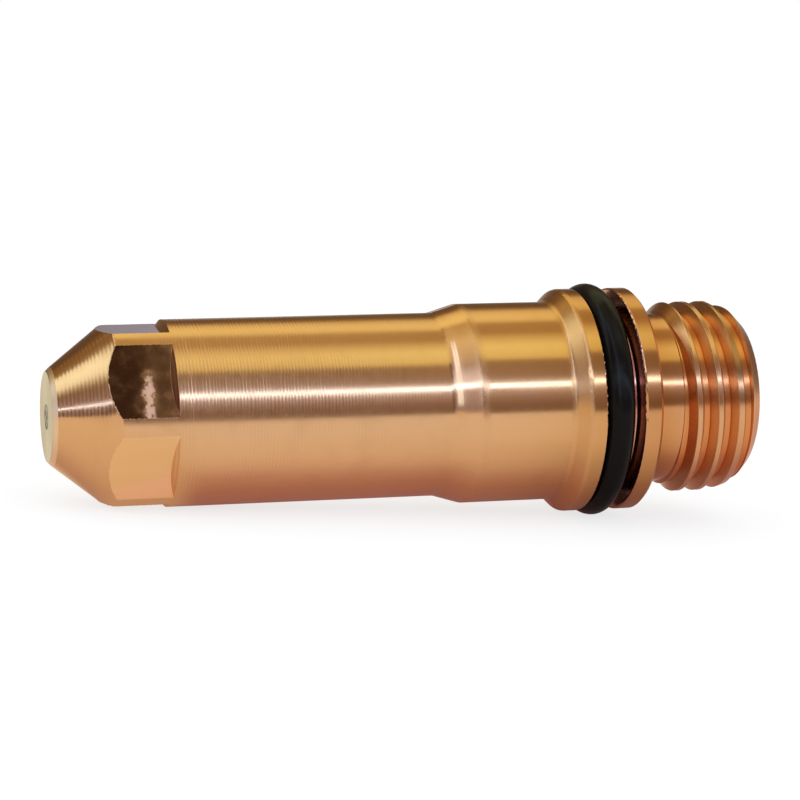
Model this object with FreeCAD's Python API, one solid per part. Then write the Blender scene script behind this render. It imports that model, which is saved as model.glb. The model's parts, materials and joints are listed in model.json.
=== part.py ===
import FreeCAD, Part
import math
import os

# Plasma torch electrode: a turned copper body with a cooling bore, an emitter pin pressed into its nose
# and a rubber ring in a groove behind its flange. It lies on its side, as it comes to rest on a bench.
# Millimetres and degrees. Lengths run along the electrode's own axis, from the nose face to the threaded end.

# Nose
nose_face_diameter = 5.60
nose_edge_chamfer = 0.28
nose_cone_half_angle = 38.3

# Front barrel, the slender part that carries the wrench flats
barrel_diameter = 11.64
barrel_end = 24.40
barrel_edge_rounding = 0.15

# Shank, a little thicker, joined to the barrel by a slow cone
shank_diameter = 12.70
step_cone_length = 1.78
shank_length = 5.96
step_rounding = 0.90

# Flange: a slanted shoulder, then two lands with the ring groove between them
flange_diameter = 14.31
shoulder_length = 0.80
shoulder_rounding = 0.40
front_land_width = 1.07
rear_land_width = 1.22
land_edge_rounding = 0.14
seat_edge_chamfer = 0.20

# Groove and the ring that sits in it
groove_width = 2.46
groove_depth = 1.405
groove_corner_rounding = 0.18
ring_section = 1.78
ring_flattening = 0.056
ring_wall_gap = 0.10

# Undercut behind the flange, a little under the thread's root, where the thread runs out
undercut_length = 1.97
undercut_clearance = 0.05
undercut_rounding = 0.35

# Thread: right-hand, 18 turns to the inch
thread_diameter = 12.32
thread_depth = 0.66
thread_pitch = 25.4 / 18
thread_full_length = 2.72
thread_lead_in = 0.62
thread_crest_width = 0.30
thread_flank_angle = 30.0
thread_turn = 58.0

# Threaded end: the crests sink towards a plain chamfer, so that the electrode finds its way into the torch
taper_length = 1.20
taper_depth = 0.35
end_chamfer_length = 0.80
end_face_diameter = 10.00
end_edge_rounding = 0.12

# Wrench flats, milled round the front of the barrel
flat_count = 6
across_flats = 10.62
flats_end = 7.25
flats_ramp_angle = 55.0

# Cooling bore, open at the threaded end, with a moat round the post that holds the emitter
bore_diameter = 7.80
bore_mouth_chamfer = 0.30
bore_floor = 6.70
moat_floor = 4.60
moat_rounding = 0.60
post_diameter = 3.80
post_foot = 5.30
post_tip = 6.75
post_edge_rounding = 0.25

# Emitter pin, pressed into the nose from the front
emitter_diameter = 1.60
emitter_length = 4.00

# How far a cutting shape runs past the metal that it cuts
overcut = 0.40

# Radii
nose_radius = nose_face_diameter / 2
nose_rim_radius = nose_radius + nose_edge_chamfer
barrel_radius = barrel_diameter / 2
shank_radius = shank_diameter / 2
flange_radius = flange_diameter / 2
groove_radius = flange_radius - groove_depth
thread_radius = thread_diameter / 2
thread_root_radius = thread_radius - thread_depth
undercut_radius = thread_root_radius - undercut_clearance
end_radius = end_face_diameter / 2
bore_radius = bore_diameter / 2
post_radius = post_diameter / 2
apothem = across_flats / 2

# Stations along the axis
cone_end = nose_edge_chamfer + (barrel_radius - nose_rim_radius) / math.tan(math.radians(nose_cone_half_angle))
shank_start = barrel_end + step_cone_length
shoulder_start = shank_start + shank_length
front_land_start = shoulder_start + shoulder_length
groove_start = front_land_start + front_land_width
groove_end = groove_start + groove_width
seat_face = groove_end + rear_land_width
thread_start = seat_face + undercut_length
thread_crest_start = thread_start + thread_lead_in
thread_crest_end = thread_crest_start + thread_full_length
taper_end = thread_crest_end + taper_length
length = taper_end + end_chamfer_length

# The ring's round section, seated on the groove floor
ring_radius = ring_section / 2
ring_centre_radius = groove_radius + ring_radius - ring_flattening
ring_centre = groove_start + ring_wall_gap + ring_radius

# The electrode rests on the ring and on the barrel's edge behind the flats: its axis climbs to the rear
rest_span = math.hypot(ring_centre - flats_end, ring_centre_radius - barrel_radius)
rest_tilt = math.atan2(ring_centre_radius - barrel_radius, ring_centre - flats_end)
rest_tilt = rest_tilt + math.asin(ring_radius / rest_span)

AXIS = FreeCAD.Vector(1, 0, 0)
ORIGIN = FreeCAD.Vector(0, 0, 0)


def rounded_outline(corners):
    """Closed face in the XZ plane through corners (x, radius, rounding), each rounded by a tangent arc."""
    points = [FreeCAD.Vector(x, 0, r) for x, r, rounding in corners]
    count = len(corners)
    cuts = []
    for i, point in enumerate(points):
        before = points[i - 1] - point
        after = points[(i + 1) % count] - point
        half_angle = before.getAngle(after) / 2
        reach = corners[i][2] / math.tan(half_angle)
        reach = min(reach, 0.45 * before.Length, 0.45 * after.Length)
        to_before = FreeCAD.Vector(before).normalize()
        to_after = FreeCAD.Vector(after).normalize()
        radius = reach * math.tan(half_angle)
        middle = FreeCAD.Vector(to_before + to_after).normalize() * (radius / math.sin(half_angle) - radius)
        cuts.append((point + to_before * reach, point + middle, point + to_after * reach))
    edges = []
    for i, (start, middle, end) in enumerate(cuts):
        if corners[i][2] > 0:
            edges.append(Part.Arc(start, middle, end).toShape())
        edges.append(Part.LineSegment(end, cuts[(i + 1) % count][0]).toShape())
    return Part.Face(Part.Wire(edges))


def turned(corners):
    """Solid of revolution of an outline about the electrode's axis."""
    return rounded_outline(corners).revolve(ORIGIN, AXIS, 360)


def make_blank():
    """Everything that is turned or bored: outside from nose to tail, then back up the bore to the pocket."""
    pocket_radius = emitter_diameter / 2
    outside = [
        (0, nose_radius, 0),
        (nose_edge_chamfer, nose_rim_radius, 0),
        (cone_end, barrel_radius, barrel_edge_rounding),
        (barrel_end, barrel_radius, step_rounding),
        (shank_start, shank_radius, step_rounding),
        (shoulder_start, shank_radius, shoulder_rounding),
        (front_land_start, flange_radius, shoulder_rounding),
        (groove_start, flange_radius, land_edge_rounding),
        (groove_start, groove_radius, groove_corner_rounding),
        (groove_end, groove_radius, groove_corner_rounding),
        (groove_end, flange_radius, land_edge_rounding),
        (seat_face - seat_edge_chamfer, flange_radius, 0),
        (seat_face, flange_radius - seat_edge_chamfer, 0),
        (seat_face, undercut_radius, undercut_rounding),
        (thread_start, undercut_radius, 0),
        (thread_crest_start, thread_radius, 0),
        (thread_crest_end, thread_radius, 0),
        (taper_end, thread_radius - taper_depth, 0),
        (length, end_radius, end_edge_rounding),
    ]
    inside = [
        (length, bore_radius + bore_mouth_chamfer, 0),
        (length - bore_mouth_chamfer, bore_radius, 0),
        (bore_floor, bore_radius, moat_rounding),
        (moat_floor, (bore_radius + post_radius) / 2, moat_rounding),
        (post_foot, post_radius, moat_rounding),
        (post_tip, post_radius, post_edge_rounding),
        (post_tip, 0, 0),
        (emitter_length, 0, 0),
        (emitter_length, pocket_radius, 0),
        (0, pocket_radius, 0),
    ]
    return turned(outside + inside)


def flats_cutter():
    """Metal that milling the flats takes off. They end in a cone, because the milling head is hollow."""
    start = -overcut
    reach = flats_end + overcut - start
    rise = math.tan(math.radians(flats_ramp_angle))
    corner_radius = apothem / math.cos(math.pi / flat_count)
    corners = []
    for i in range(flat_count + 1):
        angle = math.radians(360 / flat_count * (i + 0.5) - 90)
        corners.append(FreeCAD.Vector(start, corner_radius * math.cos(angle), corner_radius * math.sin(angle)))
    core = Part.Face(Part.makePolygon(corners)).extrude(AXIS * reach)
    ramp_foot = apothem - overcut
    ramp_length = (barrel_radius - ramp_foot) / rise + overcut
    ramp_top = ramp_foot + ramp_length * rise
    ramp = Part.makeCone(ramp_foot, ramp_top, ramp_length, AXIS * (flats_end + overcut - ramp_length), AXIS)
    sleeve = Part.makeCylinder(ramp_top + overcut, reach, AXIS * start, AXIS)
    return sleeve.cut(core).cut(ramp)


def thread_cutter():
    """One turn of the helical groove between the crests, beginning at the nose face."""
    slope = math.tan(math.radians(thread_flank_angle))
    outer_radius = thread_radius + overcut / 2
    outer_width = thread_pitch - thread_crest_width + overcut * slope
    root_width = outer_width - 2 * (outer_radius - thread_root_radius) * slope
    spine = Part.makeHelix(thread_pitch, thread_pitch, thread_root_radius)
    section = Part.makePolygon([
        FreeCAD.Vector(thread_root_radius, 0, -root_width / 2),
        FreeCAD.Vector(outer_radius, 0, -outer_width / 2),
        FreeCAD.Vector(outer_radius, 0, outer_width / 2),
        FreeCAD.Vector(thread_root_radius, 0, root_width / 2),
        FreeCAD.Vector(thread_root_radius, 0, -root_width / 2),
    ])
    groove = Part.Wire(spine.Edges).makePipeShell([section], True, True)
    groove.rotate(ORIGIN, FreeCAD.Vector(0, 1, 0), 90)
    groove.rotate(ORIGIN, AXIS, thread_turn)
    return groove


def cut_thread(blank):
    """Blank with its thread, cut turn by turn from the undercut out past the end face."""
    groove = thread_cutter()
    station = thread_start - thread_pitch / 2
    groove.translate(AXIS * station)
    while station < length + overcut:
        blank = blank.cut(groove)
        groove.translate(AXIS * thread_pitch)
        station = station + thread_pitch
    return blank


def make_body():
    """Blank with its thread cut, and then its flats milled."""
    return cut_thread(make_blank()).cut(flats_cutter())


def make_emitter():
    """Pin that fills its pocket and ends flush with the nose face."""
    return Part.makeCylinder(emitter_diameter / 2, emitter_length, ORIGIN, AXIS)


def make_ring():
    """Rubber ring whose round section is pressed flat where it grips the groove floor."""
    section = Part.makeTorus(ring_centre_radius, ring_radius, AXIS * ring_centre, AXIS)
    floor = Part.makeCylinder(groove_radius, 2 * ring_section, AXIS * (ring_centre - ring_section), AXIS)
    return section.cut(floor)


def at_rest(shape):
    """Tilt a piece into the pose in which the electrode lies, over the middle of the footprint at height 0."""
    shape.rotate(ORIGIN, FreeCAD.Vector(0, -1, 0), math.degrees(rest_tilt))
    front = -nose_radius * math.sin(rest_tilt)
    back = length * math.cos(rest_tilt) + end_radius * math.sin(rest_tilt)
    floor = flats_end * math.sin(rest_tilt) - barrel_radius * math.cos(rest_tilt)
    shape.translate(FreeCAD.Vector(-(front + back) / 2, 0, -floor))
    return shape


os.makedirs("parts", exist_ok=True)
pieces = {
    "electrode_body": make_body(),
    "emitter_insert": make_emitter(),
    "o_ring": make_ring(),
}
for name, piece in pieces.items():
    at_rest(piece)
    piece.exportStep(os.path.join("parts", name + ".step"))
    print(name, "valid", piece.isValid(), "solids", len(piece.Solids), "volume mm3", round(piece.Volume, 3))
print("length", round(length, 3), "tilt", round(math.degrees(rest_tilt), 3))
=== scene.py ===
# %% [markdown]
# # A plasma torch electrode
#
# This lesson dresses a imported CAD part: a small turned electrode of a plasma cutting torch. It is a bar of
# copper with a cone nose, six wrench flats, a flange with a rubber sealing ring, and a threaded rear end.
# A pin of hafnium sits in the nose.
#
# The solids come from the frame and keep their form. What is made here is their finish, the fine burrs and
# beads that the cutting tools left, the floor, the light and the camera.

# %% Load the frame
import json
import math

import bmesh
import bpy
from mathutils import Matrix, Vector, noise


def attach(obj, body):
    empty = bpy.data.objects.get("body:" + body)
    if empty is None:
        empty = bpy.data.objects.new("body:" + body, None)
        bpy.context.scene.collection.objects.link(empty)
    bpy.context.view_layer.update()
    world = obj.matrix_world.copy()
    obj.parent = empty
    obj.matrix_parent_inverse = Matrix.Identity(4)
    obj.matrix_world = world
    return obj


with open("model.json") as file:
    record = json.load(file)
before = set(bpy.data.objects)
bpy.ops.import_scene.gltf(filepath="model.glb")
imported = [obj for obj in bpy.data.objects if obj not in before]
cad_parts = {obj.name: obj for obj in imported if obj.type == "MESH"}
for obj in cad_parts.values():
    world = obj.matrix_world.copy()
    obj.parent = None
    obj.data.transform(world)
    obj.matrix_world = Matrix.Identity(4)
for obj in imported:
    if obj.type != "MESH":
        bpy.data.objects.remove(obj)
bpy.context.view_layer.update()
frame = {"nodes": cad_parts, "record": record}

# %% [markdown]
# The electrode lies on its side, and its axis climbs to the rear by a few degrees. Every finish on a turned
# piece runs round that axis, so the first thing to find is where it is. The record gives it: the cooling
# bore's mount holds a point on the axis and its direction. The nose face is the lowest station of the copper
# along that direction. All stations below are millimetres from the nose face, as a lathe hand counts them.

# %% Find the electrode's own axis
MM = 0.001
body = frame["nodes"]["electrode_body"]
mounts = {mount["name"]: mount for mount in frame["record"]["mounts"]}
axis = Vector(mounts["coolant_bore"]["axis"]).normalized()
axis_point = Vector(mounts["coolant_bore"]["pos_m"])
lift = Vector((0, -1, 0)).cross(axis).normalized()
stations = [(vertex.co - axis_point).dot(axis) for vertex in body.data.vertices]
nose = axis_point + axis * min(stations)
length = (max(stations) - min(stations)) / MM
rest_tilt = math.atan2(axis.z, axis.x)
print("length in mm:", round(length, 2), "tilt in degrees:", round(math.degrees(rest_tilt), 2))


def place(station, radius=0.0, angle=0.0):
    """Point at a station and radius in mm, at an angle in degrees from +Y towards up."""
    turn = math.radians(angle)
    out = Vector((0, 1, 0)) * math.cos(turn) + lift * math.sin(turn)
    return nose + (axis * station + out * radius) * MM


# %% [markdown]
# The camera stands to the left of the middle and a little above, with a long lens, and it leans a little, so
# that the electrode seems to climb. The place and turn were worked out from the outline in the photograph.

# %% Set up the camera
camera_place = Vector((-46.88, -163.46, 28.73)) * MM
camera_turn = (82.718, -3.670, -15.505)
camera = bpy.data.objects.new("camera", bpy.data.cameras.new("camera"))
camera.data.lens = 121.5
camera.data.sensor_width = 36.0
camera.data.clip_start = 0.01
camera.data.clip_end = 100.0
camera.location = camera_place
camera.rotation_euler = [math.radians(angle) for angle in camera_turn]
bpy.context.scene.collection.objects.link(camera)
bpy.context.scene.camera = camera
bpy.context.scene.view_settings.view_transform = "Standard"

# %% [markdown]
# Node materials are built from a few short helpers. `feed` puts a number, a colour or another node's output
# into a socket. `calc` and `vector_calc` are arithmetic, `ramp` turns a value into a colour by a list of
# stops, and `step` is a soft switch from 0 to 1.

# %% Helpers for node materials


def feed(tree, socket, value):
    """Link an output to a socket, or set the socket's own value."""
    if isinstance(value, bpy.types.NodeSocket):
        tree.links.new(value, socket)
    elif socket.type == "RGBA":
        socket.default_value = (*value, 1)
    else:
        socket.default_value = value


def calc(tree, operation, *values):
    """One arithmetic node."""
    node = tree.nodes.new("ShaderNodeMath")
    node.operation = operation
    for socket, value in zip(node.inputs, values):
        feed(tree, socket, value)
    return node.outputs[0]


def vector_calc(tree, operation, *values):
    """One vector arithmetic node. A dot product or a length comes back as a number."""
    node = tree.nodes.new("ShaderNodeVectorMath")
    node.operation = operation
    for socket, value in zip(node.inputs, values):
        feed(tree, socket, value)
    return node.outputs["Value" if operation in ("DOT_PRODUCT", "LENGTH") else "Vector"]


def step(tree, value, start, end):
    """0 below start, 1 above end, smooth in between. With start above end it falls instead."""
    node = tree.nodes.new("ShaderNodeMapRange")
    node.interpolation_type = "SMOOTHSTEP"
    rising = start < end
    for name, number in (("From Min", min(start, end)), ("From Max", max(start, end)),
                         ("To Min", 0.0 if rising else 1.0), ("To Max", 1.0 if rising else 0.0)):
        node.inputs[name].default_value = number
    feed(tree, node.inputs["Value"], value)
    return node.outputs["Result"]


def within(tree, value, low, high, edge):
    """1 between low and high, 0 outside, with soft edges."""
    return calc(tree, "MULTIPLY", step(tree, value, low - edge, low + edge),
                step(tree, value, high + edge, high - edge))


def ramp(tree, value, stops):
    """Colour or grey level by value. Stops are (value from 0 to 1, grey level or colour)."""
    node = tree.nodes.new("ShaderNodeValToRGB")
    elements = node.color_ramp.elements
    while len(elements) < len(stops):
        elements.new(0.5)
    for element, (position, level) in zip(elements, stops):
        element.position = position
        element.color = (*level, 1) if isinstance(level, tuple) else (level, level, level, 1)
    feed(tree, node.inputs["Fac"], value)
    return node.outputs["Color"]


def blend(tree, share, first, second):
    """Mix of two colours, share 0 gives the first."""
    node = tree.nodes.new("ShaderNodeMix")
    node.data_type = "RGBA"
    colour_inputs = [socket for socket in node.inputs if socket.type == "RGBA"]
    feed(tree, node.inputs["Factor"], share)
    for socket, value in zip(colour_inputs, (first, second)):
        feed(tree, socket, value)
    return next(socket for socket in node.outputs if socket.type == "RGBA")


def grain(tree, scale, detail=2.0, vector=None, along=None):
    """Noise from 0 to 1, in three directions or, with along, by one number only."""
    node = tree.nodes.new("ShaderNodeTexNoise")
    node.noise_dimensions = "3D" if along is None else "1D"
    node.inputs["Scale"].default_value = scale
    node.inputs["Detail"].default_value = detail
    if along is None:
        feed(tree, node.inputs["Vector"], vector)
    else:
        feed(tree, node.inputs["W"], along)
    return node.outputs["Fac"]


def bumped(tree, height, distance):
    """Surface direction after a height, in metres at full height."""
    node = tree.nodes.new("ShaderNodeBump")
    node.inputs["Distance"].default_value = distance
    feed(tree, node.inputs["Height"], height)
    return node.outputs["Normal"]


def new_material(name):
    """Empty node material with its shader: (material, tree, shader)."""
    material = bpy.data.materials.new(name)
    material.use_nodes = True
    tree = material.node_tree
    tree.nodes.clear()
    shader = tree.nodes.new("ShaderNodeBsdfPrincipled")
    output = tree.nodes.new("ShaderNodeOutputMaterial")
    tree.links.new(shader.outputs["BSDF"], output.inputs["Surface"])
    return material, tree, shader


# %% [markdown]
# A finish that follows the lathe needs to know three things at each point: its station along the axis, its
# distance from the axis and its angle round it. A Mapping node turns the row's coordinates into the
# electrode's own, in millimetres, and the rest is arithmetic.

# %% The electrode's own coordinates in a material


def own_places(tree):
    """Sockets: the own point in mm, its station, radius and angle in degrees from 0 to 360."""
    turned_back = Matrix.Rotation(rest_tilt, 3, "Y") @ nose
    mapping = tree.nodes.new("ShaderNodeMapping")
    mapping.inputs["Location"].default_value = -turned_back / MM
    mapping.inputs["Rotation"].default_value = (0, rest_tilt, 0)
    mapping.inputs["Scale"].default_value = (1 / MM, 1 / MM, 1 / MM)
    tree.links.new(tree.nodes.new("ShaderNodeTexCoord").outputs["Object"], mapping.inputs["Vector"])
    parts = tree.nodes.new("ShaderNodeSeparateXYZ")
    tree.links.new(mapping.outputs["Vector"], parts.inputs[0])
    station, side, up = parts.outputs
    radius = calc(tree, "SQRT", calc(tree, "ADD", calc(tree, "MULTIPLY", side, side),
                                     calc(tree, "MULTIPLY", up, up)))
    angle = calc(tree, "MULTIPLY", calc(tree, "ARCTAN2", up, side), 180 / math.pi)
    angle = calc(tree, "MODULO", calc(tree, "ADD", angle, 360.0), 360.0)
    return mapping.outputs["Vector"], station, radius, angle


def along_profile(tree):
    """Direction along the turned profile at each point, across the tool marks."""
    geometry = tree.nodes.new("ShaderNodeNewGeometry")
    from_nose = vector_calc(tree, "SUBTRACT", geometry.outputs["Position"], tuple(nose))
    round_axis = vector_calc(tree, "CROSS_PRODUCT", tuple(axis), from_nose)
    return vector_calc(tree, "CROSS_PRODUCT", round_axis, geometry.outputs["Normal"])


# %% [markdown]
# ## Copper
#
# The body is bare copper, and every stretch shows how it was cut. The barrel carries plain turning marks,
# strongest behind the nose and fading towards the slow cone. The shank and the flange were finished with a
# finer feed. The six flats are milled, so the light lies flat on them, and one has a scuffed streak.
#
# Three things make a turned surface: ridges round the axis as bump, a highlight that is stretched across
# them, and a colour that deepens from the nose to just in front of the thread and is paler on the thread.

# %% Stations and sizes that the copper's finish follows
cone_end = 3.75
barrel_end = 24.4
shank_start = 26.18
shoulder_start = 32.14
groove_start = 34.01
groove_end = 36.47
seat_face = 37.69
thread_start = 39.66
barrel_radius = 5.82
root_radius = 5.50
crest_radius = 6.16
bore_radius = 3.9
moat_floor = 4.6
flat_apothem = 5.31
flats_end = 7.25
feed_pitch = 0.21
flat_step = 60.0

# %% [markdown]
# The six flats are found by arithmetic too. The angle is folded into one sixth of a turn. The radius times the
# cosine of the folded angle is then the height towards that flat, and on the flat it is always the same.

# %% Where the flats are


def on_flats(tree, station, radius, angle):
    """(1 on the milled flats, distance across the flat from its middle in mm)."""
    off_middle = calc(tree, "SUBTRACT", calc(tree, "MODULO", angle, flat_step), flat_step / 2)
    turn = calc(tree, "MULTIPLY", off_middle, math.pi / 180)
    reach = calc(tree, "MULTIPLY", radius, calc(tree, "COSINE", turn))
    across = calc(tree, "MULTIPLY", radius, calc(tree, "SINE", turn))
    on_plane = within(tree, reach, flat_apothem - 0.012, flat_apothem + 0.012, 0.004)
    return calc(tree, "MULTIPLY", on_plane, within(tree, station, 2.9, flats_end, 0.05)), across


# %% Copper colours
copper_pale = (0.80, 0.46, 0.245)
copper_root = (0.72, 0.28, 0.10)
copper_crest = (0.74, 0.40, 0.20)
copper_scuff_and_highlight = (1.0, 0.62, 0.45)
copper_oiled = (0.72, 0.32, 0.23)
copper_painted_dark = (0.36, 0.20, 0.10)
copper_painted_shade = (0.15, 0.055, 0.03)
copper_bore = (0.52, 0.27, 0.13)
copper_faced = (0.68, 0.59, 0.44)
copper_rim_highlight = (0.98, 0.70, 0.48)
copper_milled = (0.92, 0.56, 0.31)
copper_smeared = (0.98, 0.56, 0.38)
copper_by_station = [
    (0.0, copper_pale), (22.0, (0.79, 0.45, 0.235)), (29.0, (0.78, 0.43, 0.205)),
    (32.5, (0.74, 0.39, 0.17)), (33.5, (0.70, 0.35, 0.14)), (37.0, (0.67, 0.32, 0.13)),
    (38.5, (0.66, 0.29, 0.11)), (41.0, (0.76, 0.40, 0.20)),
]

# %% Copper: turning marks and milled flats
feed_height = 0.0060
fine_height = 0.0065
dent_height = 0.0030
mill_height = 0.0010
copper, tree, shader = new_material("turned_copper")
point, station, radius, angle = own_places(tree)
share = calc(tree, "DIVIDE", station, length)
flats, across = on_flats(tree, station, radius, angle)
off_flats = calc(tree, "SUBTRACT", 1.0, flats)

mark_depth = ramp(tree, share, [
    (0.0, 0.22), (cone_end / length, 0.30), (6.5 / length, 1.0), (14.0 / length, 1.0),
    (20.0 / length, 0.65), (shank_start / length, 0.12), (seat_face / length, 0.10), (1.0, 0.10),
])
wander = grain(tree, 0.6, 2.0, along=station)
feed_turn = calc(tree, "MULTIPLY", calc(tree, "ADD", station, calc(tree, "MULTIPLY", wander, 0.25)),
                 2 * math.pi / feed_pitch)
feed_marks = calc(tree, "MULTIPLY", calc(tree, "SINE", feed_turn), grain(tree, 1.7, 2.0, along=station))
fine_marks = grain(tree, 3.3, 3.0, along=station)
ridges = calc(tree, "ADD", calc(tree, "MULTIPLY", feed_marks, feed_height),
              calc(tree, "MULTIPLY", fine_marks, fine_height))
ridges = calc(tree, "MULTIPLY", ridges, calc(tree, "MULTIPLY", mark_depth, off_flats))
shaded_mark_valleys = calc(tree, "MULTIPLY", step(tree, calc(tree, "SINE", feed_turn), 0.3, -0.9),
                  calc(tree, "MULTIPLY", mark_depth, off_flats))
dents = grain(tree, 1.1, 3.0, vector=point)
mill_lines = grain(tree, 3.5, 3.0, along=across)
milled = calc(tree, "ADD", calc(tree, "MULTIPLY", dents, dent_height),
              calc(tree, "MULTIPLY", mill_lines, mill_height))
height = calc(tree, "ADD", ridges, calc(tree, "MULTIPLY", milled, flats))

# %% [markdown]
# The slow cone isn't quite straight: where the tool lifted off the barrel it begins a little steeper, and it
# flattens towards the shank. The steeper start shows as one bright line. A few hundredths of a millimetre are
# enough for that, so it is a soft swell in the bump, which rises fast and falls slowly.

# %% Copper: the steeper start of the slow cone
swell_height = 0.034
swell_rise = step(tree, station, barrel_end + 0.15, barrel_end + 0.62)
swell_fall = step(tree, station, shank_start - 0.15, barrel_end + 0.6)
swell = calc(tree, "MULTIPLY", calc(tree, "MULTIPLY", swell_rise, swell_fall), swell_height)
surface = bumped(tree, calc(tree, "ADD", height, swell), MM)

# %% [markdown]
# Bare copper isn't one colour. The thread's roots are redder than its crests, because there the light goes
# from flank to flank before it leaves. The ring groove keeps a film of oil, the bore is dull, and the facing
# tool left the nose face paler. Its rim is painted paler still, a painted highlight. Each of these is a mask
# by station or radius, and they are laid over one another in turn.

# %% Copper: colour
colour = ramp(tree, share, [(stop / length, tint) for stop, tint in copper_by_station])
on_thread = step(tree, station, thread_start, thread_start + 0.2)
in_root = calc(tree, "MULTIPLY", step(tree, radius, root_radius + 0.12, root_radius + 0.03), on_thread)
colour = blend(tree, in_root, colour, copper_root)
on_crest = calc(tree, "MULTIPLY", step(tree, radius, crest_radius - 0.12, crest_radius - 0.02), on_thread)
colour = blend(tree, on_crest, colour, copper_crest)
in_groove = within(tree, station, groove_start - 0.05, groove_end + 0.05, 0.10)
colour = blend(tree, in_groove, colour, copper_oiled)
patches = grain(tree, 0.5, 3.0, vector=point)
colour = blend(tree, calc(tree, "MULTIPLY", step(tree, patches, 0.50, 0.75), 0.12), colour, copper_bore)
# The valleys of the turning marks are painted darker, as painted shade along the marks.
valley_shade_share = ramp(tree, grain(tree, 0.8, 2.0, vector=point), [(0.35, 0.02), (0.65, 0.12)])
colour = blend(tree, calc(tree, "MULTIPLY", shaded_mark_valleys, valley_shade_share), colour, copper_bore)
in_bore = calc(tree, "MULTIPLY", step(tree, radius, bore_radius + 0.25, bore_radius + 0.1),
               step(tree, station, moat_floor - 0.2, moat_floor - 0.1))
colour = blend(tree, in_bore, colour, copper_bore)
# The rim is painted paler than copper's own colour, a painted highlight.
on_rim = step(tree, station, 0.31, 0.27)
colour = blend(tree, on_rim, colour, copper_rim_highlight)
on_face = step(tree, station, 0.04, 0.02)
colour = blend(tree, on_face, colour, copper_faced)
long_patches = grain(tree, 0.9, 3.0, vector=vector_calc(tree, "MULTIPLY", point, (0.25, 1.0, 1.0)))
smeared = calc(tree, "MULTIPLY", step(tree, long_patches, 0.38, 0.60), step(tree, across, -0.9, 1.2))
colour = blend(tree, flats, colour, blend(tree, smeared, copper_milled, copper_smeared))
run_out = calc(tree, "MULTIPLY", within(tree, station, flats_end - 0.42, flats_end + 0.05, 0.03),
               step(tree, radius, barrel_radius - 0.01, barrel_radius - 0.06))
run_out = calc(tree, "MULTIPLY", run_out, off_flats)

# %% [markdown]
# One flat, the one that faces the light, is painted dark brown in clouds, a painted dark reflection, and the
# run-out behind it is painted darker still, as painted shade. It has a ragged scuff near its rear end, from a
# wrench that slipped. Scratches send the light every way, so a scuff is mostly roughness. Its colour is bare
# copper brightened past copper's own, partly a painted highlight, and pale clouds on the flat take a little
# of it.

# %% Copper: the scuff, the painted shade and the shine
scuff_angle = 150.0
by_scuff = within(tree, angle, scuff_angle - flat_step / 2, scuff_angle + flat_step / 2, 0.5)
on_scuffed_flat = calc(tree, "MULTIPLY", flats, by_scuff)
# The run-out behind the scuffed flat is painted dark, as painted shade in that hollow step.
colour = blend(tree, calc(tree, "MULTIPLY", run_out, by_scuff), colour, copper_painted_shade)
cloud = grain(tree, 0.9, 4.0, vector=point)
# The dark brown clouds on this flat are a painted dark reflection.
painted_dark_clouds = calc(tree, "MULTIPLY", on_scuffed_flat, ramp(tree, cloud, [(0.30, 0.85), (0.62, 0.35)]))
colour = blend(tree, painted_dark_clouds, colour, copper_painted_dark)
ragged = calc(tree, "MULTIPLY", calc(tree, "SUBTRACT", grain(tree, 1.8, 3.0, vector=point), 0.5), 0.6)
streak_place = calc(tree, "ADD", calc(tree, "ADD", station, ragged), calc(tree, "MULTIPLY", across, 0.06))
streak = calc(tree, "MULTIPLY", within(tree, streak_place, 5.22, 5.90, 0.34), step(tree, across, -1.3, 0.1))
hairs = grain(tree, 5.0, 3.0, vector=vector_calc(tree, "MULTIPLY", point, (1.0, 0.7, 0.7)))
streak = calc(tree, "MULTIPLY", calc(tree, "MULTIPLY", streak, on_scuffed_flat), step(tree, hairs, 0.0, 0.70))
# Pale clouds on the flat take a little of the scuff's brightened colour, a painted highlight.
pale_clouds = calc(tree, "MULTIPLY", step(tree, cloud, 0.50, 0.72), on_scuffed_flat)
streak = calc(tree, "MAXIMUM", streak, calc(tree, "MULTIPLY", pale_clouds, 0.12))
# The scuff's colour is bare scratched copper brightened past copper's own, partly a painted highlight.
colour = blend(tree, streak, colour, copper_scuff_and_highlight)

rough = ramp(tree, share, [
    (0.0, 0.15), (cone_end / length, 0.17), (6.0 / length, 0.23), (20.0 / length, 0.22),
    (shank_start / length, 0.18), (1.0, 0.18),
])
mottle = calc(tree, "SUBTRACT", grain(tree, 3.0, 4.0, vector=point), 0.5)
on_shoulder = within(tree, station, shoulder_start - 0.25, shoulder_start + 0.95, 0.15)
on_step_edge = within(tree, station, shank_start - 0.10, shank_start + 0.35, 0.22)
rough_changes = [
    (calc(tree, "SUBTRACT", patches, 0.5), 0.06),
    (on_shoulder, 0.12),
    (on_step_edge, 0.12),
    (calc(tree, "MULTIPLY", mottle, off_flats), 0.10),
    (on_thread, 0.07),
    (flats, -0.15),
    (calc(tree, "MULTIPLY", flats, patches), 0.05),
    (calc(tree, "MULTIPLY", streak, streak), 0.60),
    (pale_clouds, 0.05),
    (in_bore, 0.2),
    (on_face, -0.15),
    (on_rim, 0.30),
]
for where, amount in rough_changes:
    rough = calc(tree, "ADD", rough, calc(tree, "MULTIPLY", where, amount))

feed(tree, shader.inputs["Base Color"], colour)
feed(tree, shader.inputs["Roughness"], rough)
feed(tree, shader.inputs["Normal"], surface)
feed(tree, shader.inputs["Tangent"], along_profile(tree))
shader.inputs["Metallic"].default_value = 1.0
shader.inputs["Anisotropic"].default_value = 0.6
body.material_slots[0].material = copper
print("copper nodes:", len(tree.nodes))

# %% [markdown]
# ## Emitter
#
# The pin in the nose is hafnium, a grey metal that is pressed in and faced off with the copper. The joint
# round it shows as a broken dark ring, and the facing tool left a few dark smears on its end.

# %% Emitter
hafnium_pale = (0.46, 0.43, 0.37)
hafnium_dark = (0.05, 0.042, 0.035)
emitter_radius = 0.8

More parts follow.
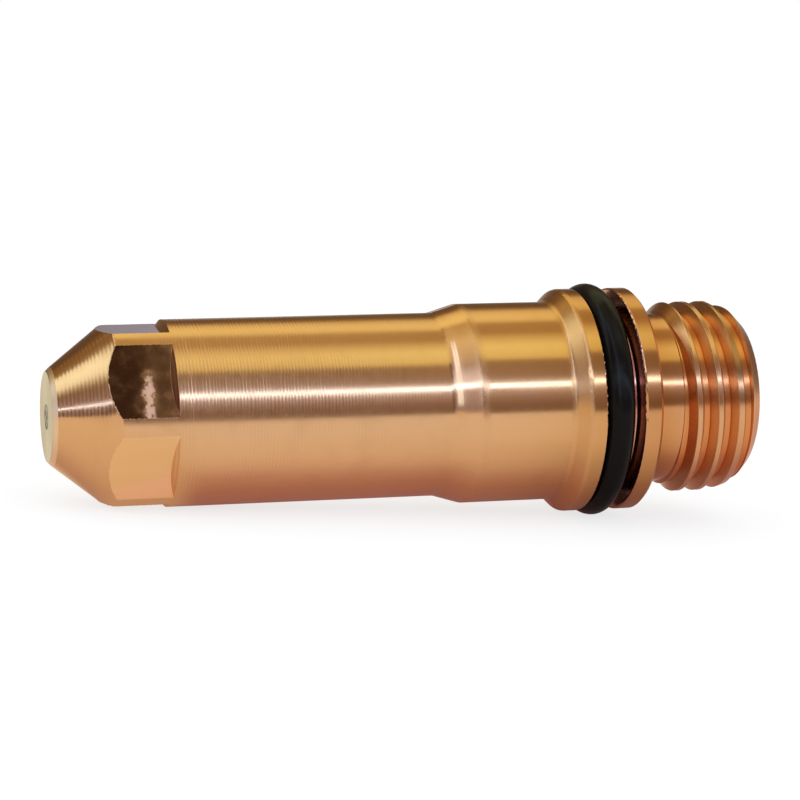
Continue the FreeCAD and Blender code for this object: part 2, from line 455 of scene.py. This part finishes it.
emitter, tree, shader = new_material("faced_hafnium")
point, station, radius, angle = own_places(tree)
speckle = grain(tree, 2.6, 3.0, vector=point)
rings = grain(tree, 9.0, 2.0, along=radius)
seam = calc(tree, "MULTIPLY", step(tree, radius, emitter_radius - 0.22, emitter_radius - 0.06),
            step(tree, speckle, 0.36, 0.46))
smears = step(tree, speckle, 0.49, 0.55)
stains = calc(tree, "MAXIMUM", seam, smears)
feed(tree, shader.inputs["Base Color"], blend(tree, stains, hafnium_pale, hafnium_dark))
feed(tree, shader.inputs["Roughness"], calc(tree, "ADD", 0.25, calc(tree, "MULTIPLY", speckle, 0.3)))
feed(tree, shader.inputs["Normal"], bumped(tree, rings, 0.00001))
shader.inputs["Metallic"].default_value = 1.0
frame["nodes"]["emitter_insert"].material_slots[0].material = emitter

# %% [markdown]
# ## Sealing ring
#
# The ring is moulded nitrile rubber with a film of grease. It is almost black, and the grease gives it soft
# highlights, greenish grey in some patches.

# %% Sealing ring
rubber_black = (0.007, 0.0055, 0.005)
rubber_dusty = (0.012, 0.012, 0.009)

rubber, tree, shader = new_material("greased_rubber")
point = own_places(tree)[0]
cloud = grain(tree, 0.5, 3.0, vector=point)
pores = grain(tree, 9.0, 3.0, vector=point)
dust = step(tree, cloud, 0.50, 0.75)
feed(tree, shader.inputs["Base Color"], blend(tree, dust, rubber_black, rubber_dusty))
feed(tree, shader.inputs["Roughness"], calc(tree, "ADD", 0.10, calc(tree, "MULTIPLY", cloud, 0.20)))
feed(tree, shader.inputs["Normal"], bumped(tree, pores, 0.000002))
shader.inputs["Specular IOR Level"].default_value = 0.09
frame["nodes"]["o_ring"].material_slots[0].material = rubber

# %% [markdown]
# ## Burrs and beads
#
# A milling cutter pushes a thin lip of copper over the edge of each flat, and a threading tool raises a bead
# along both edges of the crest. They are a few hundredths of a millimetre high, but they catch the light
# first. Each is a thin tube that follows its edge, and its thickness and place change a little, by noise.

# %% Tube along a line of points
tube_sides = 6


def tube(name, points, radii, material):
    """Closed thin tube through points, with a radius in mm for each, riding with the electrode."""
    mesh = bmesh.new()
    rings_made = []
    for i, (here, thickness) in enumerate(zip(points, radii)):
        ahead = (points[min(i + 1, len(points) - 1)] - points[max(i - 1, 0)]).normalized()
        first = ahead.cross(axis if abs(ahead.dot(axis)) < 0.8 else Vector((0, 1, 0))).normalized()
        second = ahead.cross(first)
        ring_points = []
        for k in range(tube_sides):
            turn = 2 * math.pi * k / tube_sides
            around = first * math.cos(turn) + second * math.sin(turn)
            ring_points.append(mesh.verts.new(here + around * thickness * MM))
        rings_made.append(ring_points)
    for before, after in zip(rings_made, rings_made[1:]):
        for k in range(tube_sides):
            mesh.faces.new((before[k], before[(k + 1) % tube_sides], after[(k + 1) % tube_sides], after[k]))
    mesh.faces.new(list(reversed(rings_made[0])))
    mesh.faces.new(rings_made[-1])
    bmesh.ops.recalc_face_normals(mesh, faces=mesh.faces)
    for face in mesh.faces:
        face.smooth = True
    data = bpy.data.meshes.new(name)
    mesh.to_mesh(data)
    mesh.free()
    piece = bpy.data.objects.new(name, data)
    bpy.context.scene.collection.objects.link(piece)
    data.materials.append(material)
    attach(piece, "root")
    return piece


# %% Torn copper for the lips
lip_pale = (0.85, 0.55, 0.36)
lip_deep = (0.55, 0.30, 0.16)

burr_copper, tree, shader = new_material("torn_copper")
torn = grain(tree, 12.0, 2.0, vector=own_places(tree)[0])
feed(tree, shader.inputs["Base Color"], blend(tree, torn, lip_pale, lip_deep))
feed(tree, shader.inputs["Roughness"], calc(tree, "ADD", 0.32, calc(tree, "MULTIPLY", torn, 0.3)))
feed(tree, shader.inputs["Normal"], bumped(tree, torn, 0.000012))
shader.inputs["Metallic"].default_value = 1.0

# %% Burrs round the flats
nose_cone_half_angle = 38.3
cone_slope = math.tan(math.radians(nose_cone_half_angle))
nose_rim_radius = 3.08
nose_rim_station = 0.28
half_width = math.sqrt(barrel_radius ** 2 - flat_apothem ** 2)
burr_steps = 60
burr_sink = 0.07


def burr(name, line, thickness, seed):
    """Lip along line, which gives (station, distance across the flat) from 0 to 1."""
    flat_middle, path = line
    points, radii = [], []
    for i in range(burr_steps + 1):
        at, side = path(i / burr_steps)
        rough_here = noise.noise(Vector((i * 0.45, seed, 0.0)))
        drift = noise.noise(Vector((i * 0.21, seed + 7.3, 0.0)))
        sunk = burr_sink * max(0.0, min(1.0, -5 * noise.noise(Vector((i * 0.30, seed + 3.1, 0.0)))))
        reach = math.hypot(flat_apothem, side) - sunk
        out_angle = flat_middle + math.degrees(math.atan2(side, flat_apothem))
        points.append(place(at + 0.03 * drift, reach + 0.008 * rough_here, out_angle))
        ends = min(1.0, i / 4, (burr_steps - i) / 4)
        radii.append(max(0.006, thickness * (0.65 + 1.3 * rough_here) * ends))
    return tube(name, points, radii, burr_copper)


def front_edge(share):
    side = half_width * (2 * share - 1)
    return nose_rim_station + (math.hypot(flat_apothem, side) - nose_rim_radius) / cone_slope, side


def edge_along(sign):
    return lambda share: (cone_end + 0.05 + (flats_end - 0.25 - cone_end) * share, sign * half_width)


for i in range(6):
    flat_middle = flat_step * (i + 0.5)
    front = 0.055 if flat_middle == scuff_angle else 0.014
    burr("burr_front_%d" % i, (flat_middle, front_edge), front, 11.0 * i)
    burr("burr_low_side_%d" % i, (flat_middle, edge_along(1)), 0.010, 11.0 * i + 3)
    burr("burr_high_side_%d" % i, (flat_middle, edge_along(-1)), 0.008, 11.0 * i + 5)

# %% Beads along the thread's crest
thread_pitch = 25.4 / 18
crest_station = 41.87
crest_angle = 171.5
crest_half = 0.15
full_from = 40.34
full_to = 42.96
bead_steps_per_turn = 150


def bead(name, offset):
    """Fine bead along one edge of the crest, offset from the crest's middle in mm."""
    count = int(bead_steps_per_turn * (full_to - full_from) / thread_pitch)
    points, radii = [], []
    for i in range(count + 1):
        at = full_from + (full_to - full_from) * i / count
        turn = crest_angle + 360 * (at - crest_station) / thread_pitch
        height = noise.noise(Vector((i * 0.12, 40 + 9 * offset, 0.0)))
        points.append(place(at + offset, crest_radius - 0.004, turn))
        radii.append(0.013 + 0.009 * height)
    return tube(name, points, radii, burr_copper)


bead("crest_bead_front", -crest_half)
bead("crest_bead_rear", crest_half)

# %% [markdown]
# ## Floor and light
#
# The floor is pale and plain, and the world is white. Polished metal shows what stands round it, so a studio
# puts the work in a tent: a long half drum of cloth and card. Its front is dark card, so that the metal gets
# a dark band, with a white gap at the left where one card ends. Overhead hang two warm bright strips of
# cloth. The camera and the floor don't see the tent, and the metal does. One long lamp in front of it makes
# the thin highlight.

# %% Floor
floor_mesh = bpy.data.meshes.new("floor")
floor_mesh.from_pydata([(-6, -6, 0), (6, -6, 0), (6, 30, 0), (-6, 30, 0)], [], [(0, 1, 2, 3)])
floor = bpy.data.objects.new("floor", floor_mesh)
bpy.context.scene.collection.objects.link(floor)

# %% [markdown]
# Copper shows the floor below it, and that part of the floor is lit by light that came off the copper, so it
# glows red close to the electrode and paler further out. Left of the nose the floor is open and bright, and
# under the flange the black ring keeps it dark. Only reflections see this glow.

# %% Floor paint
glow_reach = 40.0
shade_start = -2.0
shade_reach = 32.0
floor_glow = [
    (0.0, (0.26, 0.12, 0.11)), (2.0, (0.30, 0.14, 0.12)), (3.5, (0.33, 0.16, 0.13)),
    (5.0, (0.42, 0.26, 0.21)), (6.5, (0.54, 0.42, 0.34)), (8.0, (0.60, 0.51, 0.40)),
    (10.0, (0.61, 0.55, 0.43)), (14.0, (0.61, 0.57, 0.48)), (20.0, (0.60, 0.58, 0.50)),
    (40.0, (0.60, 0.59, 0.53)),
]
open_glow = [
    (0.0, (0.36, 0.22, 0.14)), (2.0, (0.46, 0.33, 0.22)), (4.0, (0.54, 0.44, 0.27)),
    (10.0, (0.57, 0.49, 0.30)), (40.0, (0.57, 0.49, 0.30)),
]
flange_shade = [
    (-2.0, 0.0), (5.0, 0.10), (8.0, 0.17), (11.0, 0.28), (13.0, 0.45), (17.0, 0.45), (19.5, 0.12),
    (30.0, 0.10),
]


def spread(stops, start, reach):
    """Stops in mm as stops from 0 to 1, from start over reach."""
    return [((at - start) / reach, level) for at, level in stops]


floor_paint, tree, shader = new_material("pale_floor")
shader.inputs["Base Color"].default_value = (0.27, 0.27, 0.275, 1)
shader.inputs["Roughness"].default_value = 0.9
shader.inputs["Specular IOR Level"].default_value = 0.0
parts = tree.nodes.new("ShaderNodeSeparateXYZ")
tree.links.new(tree.nodes.new("ShaderNodeNewGeometry").outputs["Position"], parts.inputs[0])
along = calc(tree, "DIVIDE", parts.outputs["X"], MM)
from_line = calc(tree, "ABSOLUTE", calc(tree, "DIVIDE", parts.outputs["Y"], MM))
out_share = calc(tree, "DIVIDE", from_line, glow_reach)
glow = ramp(tree, out_share, spread(floor_glow, 0.0, glow_reach))
shade = ramp(tree, calc(tree, "DIVIDE", calc(tree, "SUBTRACT", along, shade_start), shade_reach),
             spread(flange_shade, shade_start, shade_reach))
shade = calc(tree, "MULTIPLY", shade, step(tree, from_line, 16.0, 4.0))
glow = blend(tree, shade, glow, (0, 0, 0))
open_floor = ramp(tree, out_share, spread(open_glow, 0.0, glow_reach))
glow = blend(tree, step(tree, along, -12.8, -15.2), glow, open_floor)
seen = tree.nodes.new("ShaderNodeLightPath")
by_camera = blend(tree, seen.outputs["Is Camera Ray"], (0, 0, 0), (0.755, 0.755, 0.75))
mirrored = calc(tree, "MAXIMUM", seen.outputs["Is Glossy Ray"], seen.outputs["Is Transmission Ray"])
feed(tree, shader.inputs["Emission Color"], blend(tree, mirrored, by_camera, glow))
shader.inputs["Emission Strength"].default_value = 1.0
floor_mesh.materials.append(floor_paint)

# %% World
world = bpy.data.worlds.new("white_room")
bpy.context.scene.world = world
world.use_nodes = True
world.node_tree.nodes["Background"].inputs["Color"].default_value = (1, 1, 1, 1)
world.node_tree.nodes["Background"].inputs["Strength"].default_value = 1.0

# %% Tent
tent_radius = 0.40
tent_reach = 6.0
tent_top_angle = 183.0
rib_count = 64
apron_front = 0.13
tent_mesh = bpy.data.meshes.new("tent")
profile = [(-apron_front, 0.0002)]
for i in range(rib_count + 1):
    turn = math.radians(0.05 + (tent_top_angle - 0.05) * i / rib_count)
    profile.append((-tent_radius * math.cos(turn), tent_radius * math.sin(turn)))
tent_points = [(end, y, z) for y, z in profile for end in (-tent_reach, tent_reach)]
tent_faces = [(2 * i, 2 * i + 1, 2 * i + 3, 2 * i + 2) for i in range(len(profile) - 1)]
tent_mesh.from_pydata(tent_points, [], tent_faces)
tent = bpy.data.objects.new("tent", tent_mesh)
bpy.context.scene.collection.objects.link(tent)
tent.visible_camera = False
tent.visible_diffuse = False
tent.visible_shadow = False

# %% [markdown]
# The cloth's colours are stops by height, in degrees from the floor in front, over the top, to the floor
# behind. There are four stretches along the tent, in millimetres from its middle: the middle, the right, a
# hazy one to the left and the far left. On them lie patches: a dark card that the scuffed flat mirrors, a
# white gap that the nose cone mirrors, a glow for the thread, and dim cards. The last panels, low behind the
# part, change along the tent, because the flat that faces up shows only a small stretch of them.

# %% Tent cloth
middle_bands = [
    (0.0, (0.07, 0.05, 0.04)), (10.0, (0.09, 0.06, 0.045)), (20.0, (0.17, 0.125, 0.10)),
    (29.0, (0.26, 0.22, 0.22)), (40.0, (0.15, 0.11, 0.08)), (50.0, (0.11, 0.08, 0.055)),
    (57.0, (0.12, 0.09, 0.06)), (61.0, (0.88, 0.86, 0.43)), (76.0, (0.98, 0.98, 0.50)),
    (86.0, (0.80, 0.76, 0.38)), (95.0, (0.49, 0.37, 0.17)), (110.0, (0.51, 0.40, 0.19)),
    (116.0, (1.04, 1.02, 0.49)), (125.0, (1.06, 1.05, 0.51)), (136.0, (0.90, 0.78, 0.37)),
    (144.0, (0.27, 0.17, 0.07)), (152.0, (0.15, 0.10, 0.05)), (164.0, (0.14, 0.10, 0.07)),
    (183.0, (0.14, 0.10, 0.07)),
]
right_bands = [
    (0.0, (0.23, 0.17, 0.14)), (8.0, (0.28, 0.21, 0.18)), (14.0, (0.36, 0.29, 0.28)),
    (19.0, (0.45, 0.39, 0.41)), (24.0, (0.55, 0.53, 0.60)), (29.0, (0.62, 0.64, 0.80)),
    (34.0, (0.50, 0.47, 0.48)), (40.0, (0.43, 0.35, 0.29)), (50.0, (0.42, 0.33, 0.24)),
    (57.0, (0.40, 0.31, 0.20)), (61.0, (0.94, 0.94, 0.46)), (76.0, (1.06, 1.13, 0.58)),
    (86.0, (0.82, 0.78, 0.38)), (95.0, (0.49, 0.37, 0.17)), (110.0, (0.51, 0.40, 0.19)),
    (116.0, (0.98, 0.93, 0.46)), (125.0, (1.00, 0.95, 0.48)), (136.0, (0.82, 0.72, 0.34)),
    (144.0, (0.27, 0.17, 0.07)), (152.0, (0.15, 0.10, 0.05)), (183.0, (0.14, 0.10, 0.07)),
]
left_bands = [
    (0.0, (0.09, 0.055, 0.04)), (14.0, (0.15, 0.10, 0.075)), (30.0, (0.26, 0.21, 0.21)),
    (50.0, (0.21, 0.15, 0.11)), (74.0, (0.24, 0.17, 0.12)), (86.0, (0.62, 0.62, 0.54)),
    (93.0, (1.15, 1.40, 1.35)), (108.0, (1.28, 1.62, 1.58)), (122.0, (1.20, 1.45, 1.30)),
    (125.0, (0.34, 0.25, 0.12)), (140.0, (0.24, 0.16, 0.07)), (152.0, (0.11, 0.065, 0.03)),
    (183.0, (0.16, 0.10, 0.08)),
]
haze_bands = [
    (0.0, (0.38, 0.33, 0.43)), (22.0, (0.48, 0.45, 0.55)), (33.0, (1.00, 1.15, 1.75)),
    (44.0, (0.80, 0.90, 1.25)), (52.0, (0.50, 0.46, 0.52)), (61.0, (0.62, 0.58, 0.46)),
    (85.0, (0.88, 0.86, 0.60)), (98.0, (0.76, 0.70, 0.42)), (112.0, (0.66, 0.56, 0.26)),
    (118.0, (1.04, 1.02, 0.49)), (125.0, (1.06, 1.05, 0.51)),
    (136.0, (0.84, 0.72, 0.34)), (144.0, (0.26, 0.16, 0.07)), (152.0, (0.14, 0.09, 0.05)),
    (183.0, (0.14, 0.10, 0.07)),
]
back_panels = [
    (-50.0, (0.18, 0.13, 0.10)), (32.0, (0.20, 0.15, 0.12)), (42.0, (0.28, 0.29, 0.36)),
    (54.0, (0.30, 0.31, 0.39)), (64.0, (0.62, 0.63, 0.62)), (86.0, (0.62, 0.60, 0.58)),
    (104.0, (0.30, 0.27, 0.24)), (130.0, (0.18, 0.15, 0.11)), (150.0, (0.46, 0.46, 0.48)),
    (200.0, (0.40, 0.38, 0.38)),
]
panels_start = -50.0
panels_reach = 250.0
flat_card = (0.060, 0.038, 0.027)
gap_white = (1.7, 2.2, 3.1)
thread_glow = (0.9, 1.0, 1.35)
far_card = (0.52, 0.47, 0.60)
far_dim = (0.10, 0.07, 0.04)
no_light = (0.0, 0.0, 0.0)


def tent_ramp(tree, height, bands):
    """Colour by the height in degrees, from the front edge over the top."""
    share = calc(tree, "DIVIDE", height, tent_top_angle)
    return ramp(tree, share, [(angle / tent_top_angle, tint) for angle, tint in bands])


tent_cloth, tree, shader = new_material("tent_cloth")
parts = tree.nodes.new("ShaderNodeSeparateXYZ")
tree.links.new(tree.nodes.new("ShaderNodeNewGeometry").outputs["Position"], parts.inputs[0])
height = calc(tree, "ARCTAN2", parts.outputs["Z"], calc(tree, "MULTIPLY", parts.outputs["Y"], -1.0))
height = calc(tree, "MULTIPLY", height, 180 / math.pi)
along = calc(tree, "DIVIDE", parts.outputs["X"], MM)


def patch(left, right, low, high, along_edge, height_edge):
    """1 on a patch of cloth, from left to right in mm and from low to high in degrees."""
    return calc(tree, "MULTIPLY", within(tree, along, left, right, along_edge),
                within(tree, height, low, high, height_edge))


bands = blend(tree, step(tree, along, 35.0, 52.0), tent_ramp(tree, height, middle_bands),
              tent_ramp(tree, height, right_bands))
bands = blend(tree, patch(16.0, 38.0, 45.0, 58.0, 4.0, 2.0), bands, flat_card)
haze = within(tree, along, -150.0, -20.0, 20.0)
bands = blend(tree, haze, bands, tent_ramp(tree, height, haze_bands))
bands = blend(tree, step(tree, along, -170.0, -240.0), bands, tent_ramp(tree, height, left_bands))
bands = blend(tree, calc(tree, "MULTIPLY", step(tree, along, 180.0, 420.0), 0.55), bands, far_dim)
behind = calc(tree, "MULTIPLY", step(tree, along, 118.0, 150.0), within(tree, height, 37.0, 57.0, 3.0))
bands = blend(tree, calc(tree, "MULTIPLY", behind, 0.36), bands, no_light)
glowing = calc(tree, "MULTIPLY", step(tree, along, 128.0, 165.0), within(tree, height, 24.0, 33.0, 4.0))
bands = blend(tree, glowing, bands, thread_glow)
panel = ramp(tree, calc(tree, "DIVIDE", calc(tree, "SUBTRACT", along, panels_start), panels_reach),
             spread(back_panels, panels_start, panels_reach))
low_behind = calc(tree, "MULTIPLY", step(tree, height, 164.0, 168.0), step(tree, along, -170.0, -100.0))
bands = blend(tree, low_behind, bands, panel)
bands = blend(tree, patch(-245.0, -155.0, 5.0, 92.0, 14.0, 5.0), bands, gap_white)
far_left = step(tree, calc(tree, "SUBTRACT", along, calc(tree, "MULTIPLY", height, 3.1)), -1130.0, -1210.0)
far_left = calc(tree, "MULTIPLY", far_left, step(tree, height, 84.0, 72.0))
bands = blend(tree, far_left, bands, far_card)
shader.inputs["Base Color"].default_value = (0, 0, 0, 1)
shader.inputs["Specular IOR Level"].default_value = 0.0
feed(tree, shader.inputs["Emission Color"], bands)
shader.inputs["Emission Strength"].default_value = 1.0
tent_mesh.materials.append(tent_cloth)

# %% Lamp
lamp_height = 29.1
lamp_distance = 0.30
lamp = bpy.data.objects.new("long_lamp", bpy.data.lights.new("long_lamp", "AREA"))
lamp.data.shape = "RECTANGLE"
lamp.data.size = 7.0
lamp.data.size_y = 0.022
lamp.data.energy = 3.0
lamp.data.color = (0.42, 0.62, 1.0)
turn = math.radians(lamp_height)
lamp.location = (0, -lamp_distance * math.cos(turn), lamp_distance * math.sin(turn))
lamp.rotation_euler = (math.radians(90) - turn, 0, 0)
bpy.context.scene.collection.objects.link(lamp)
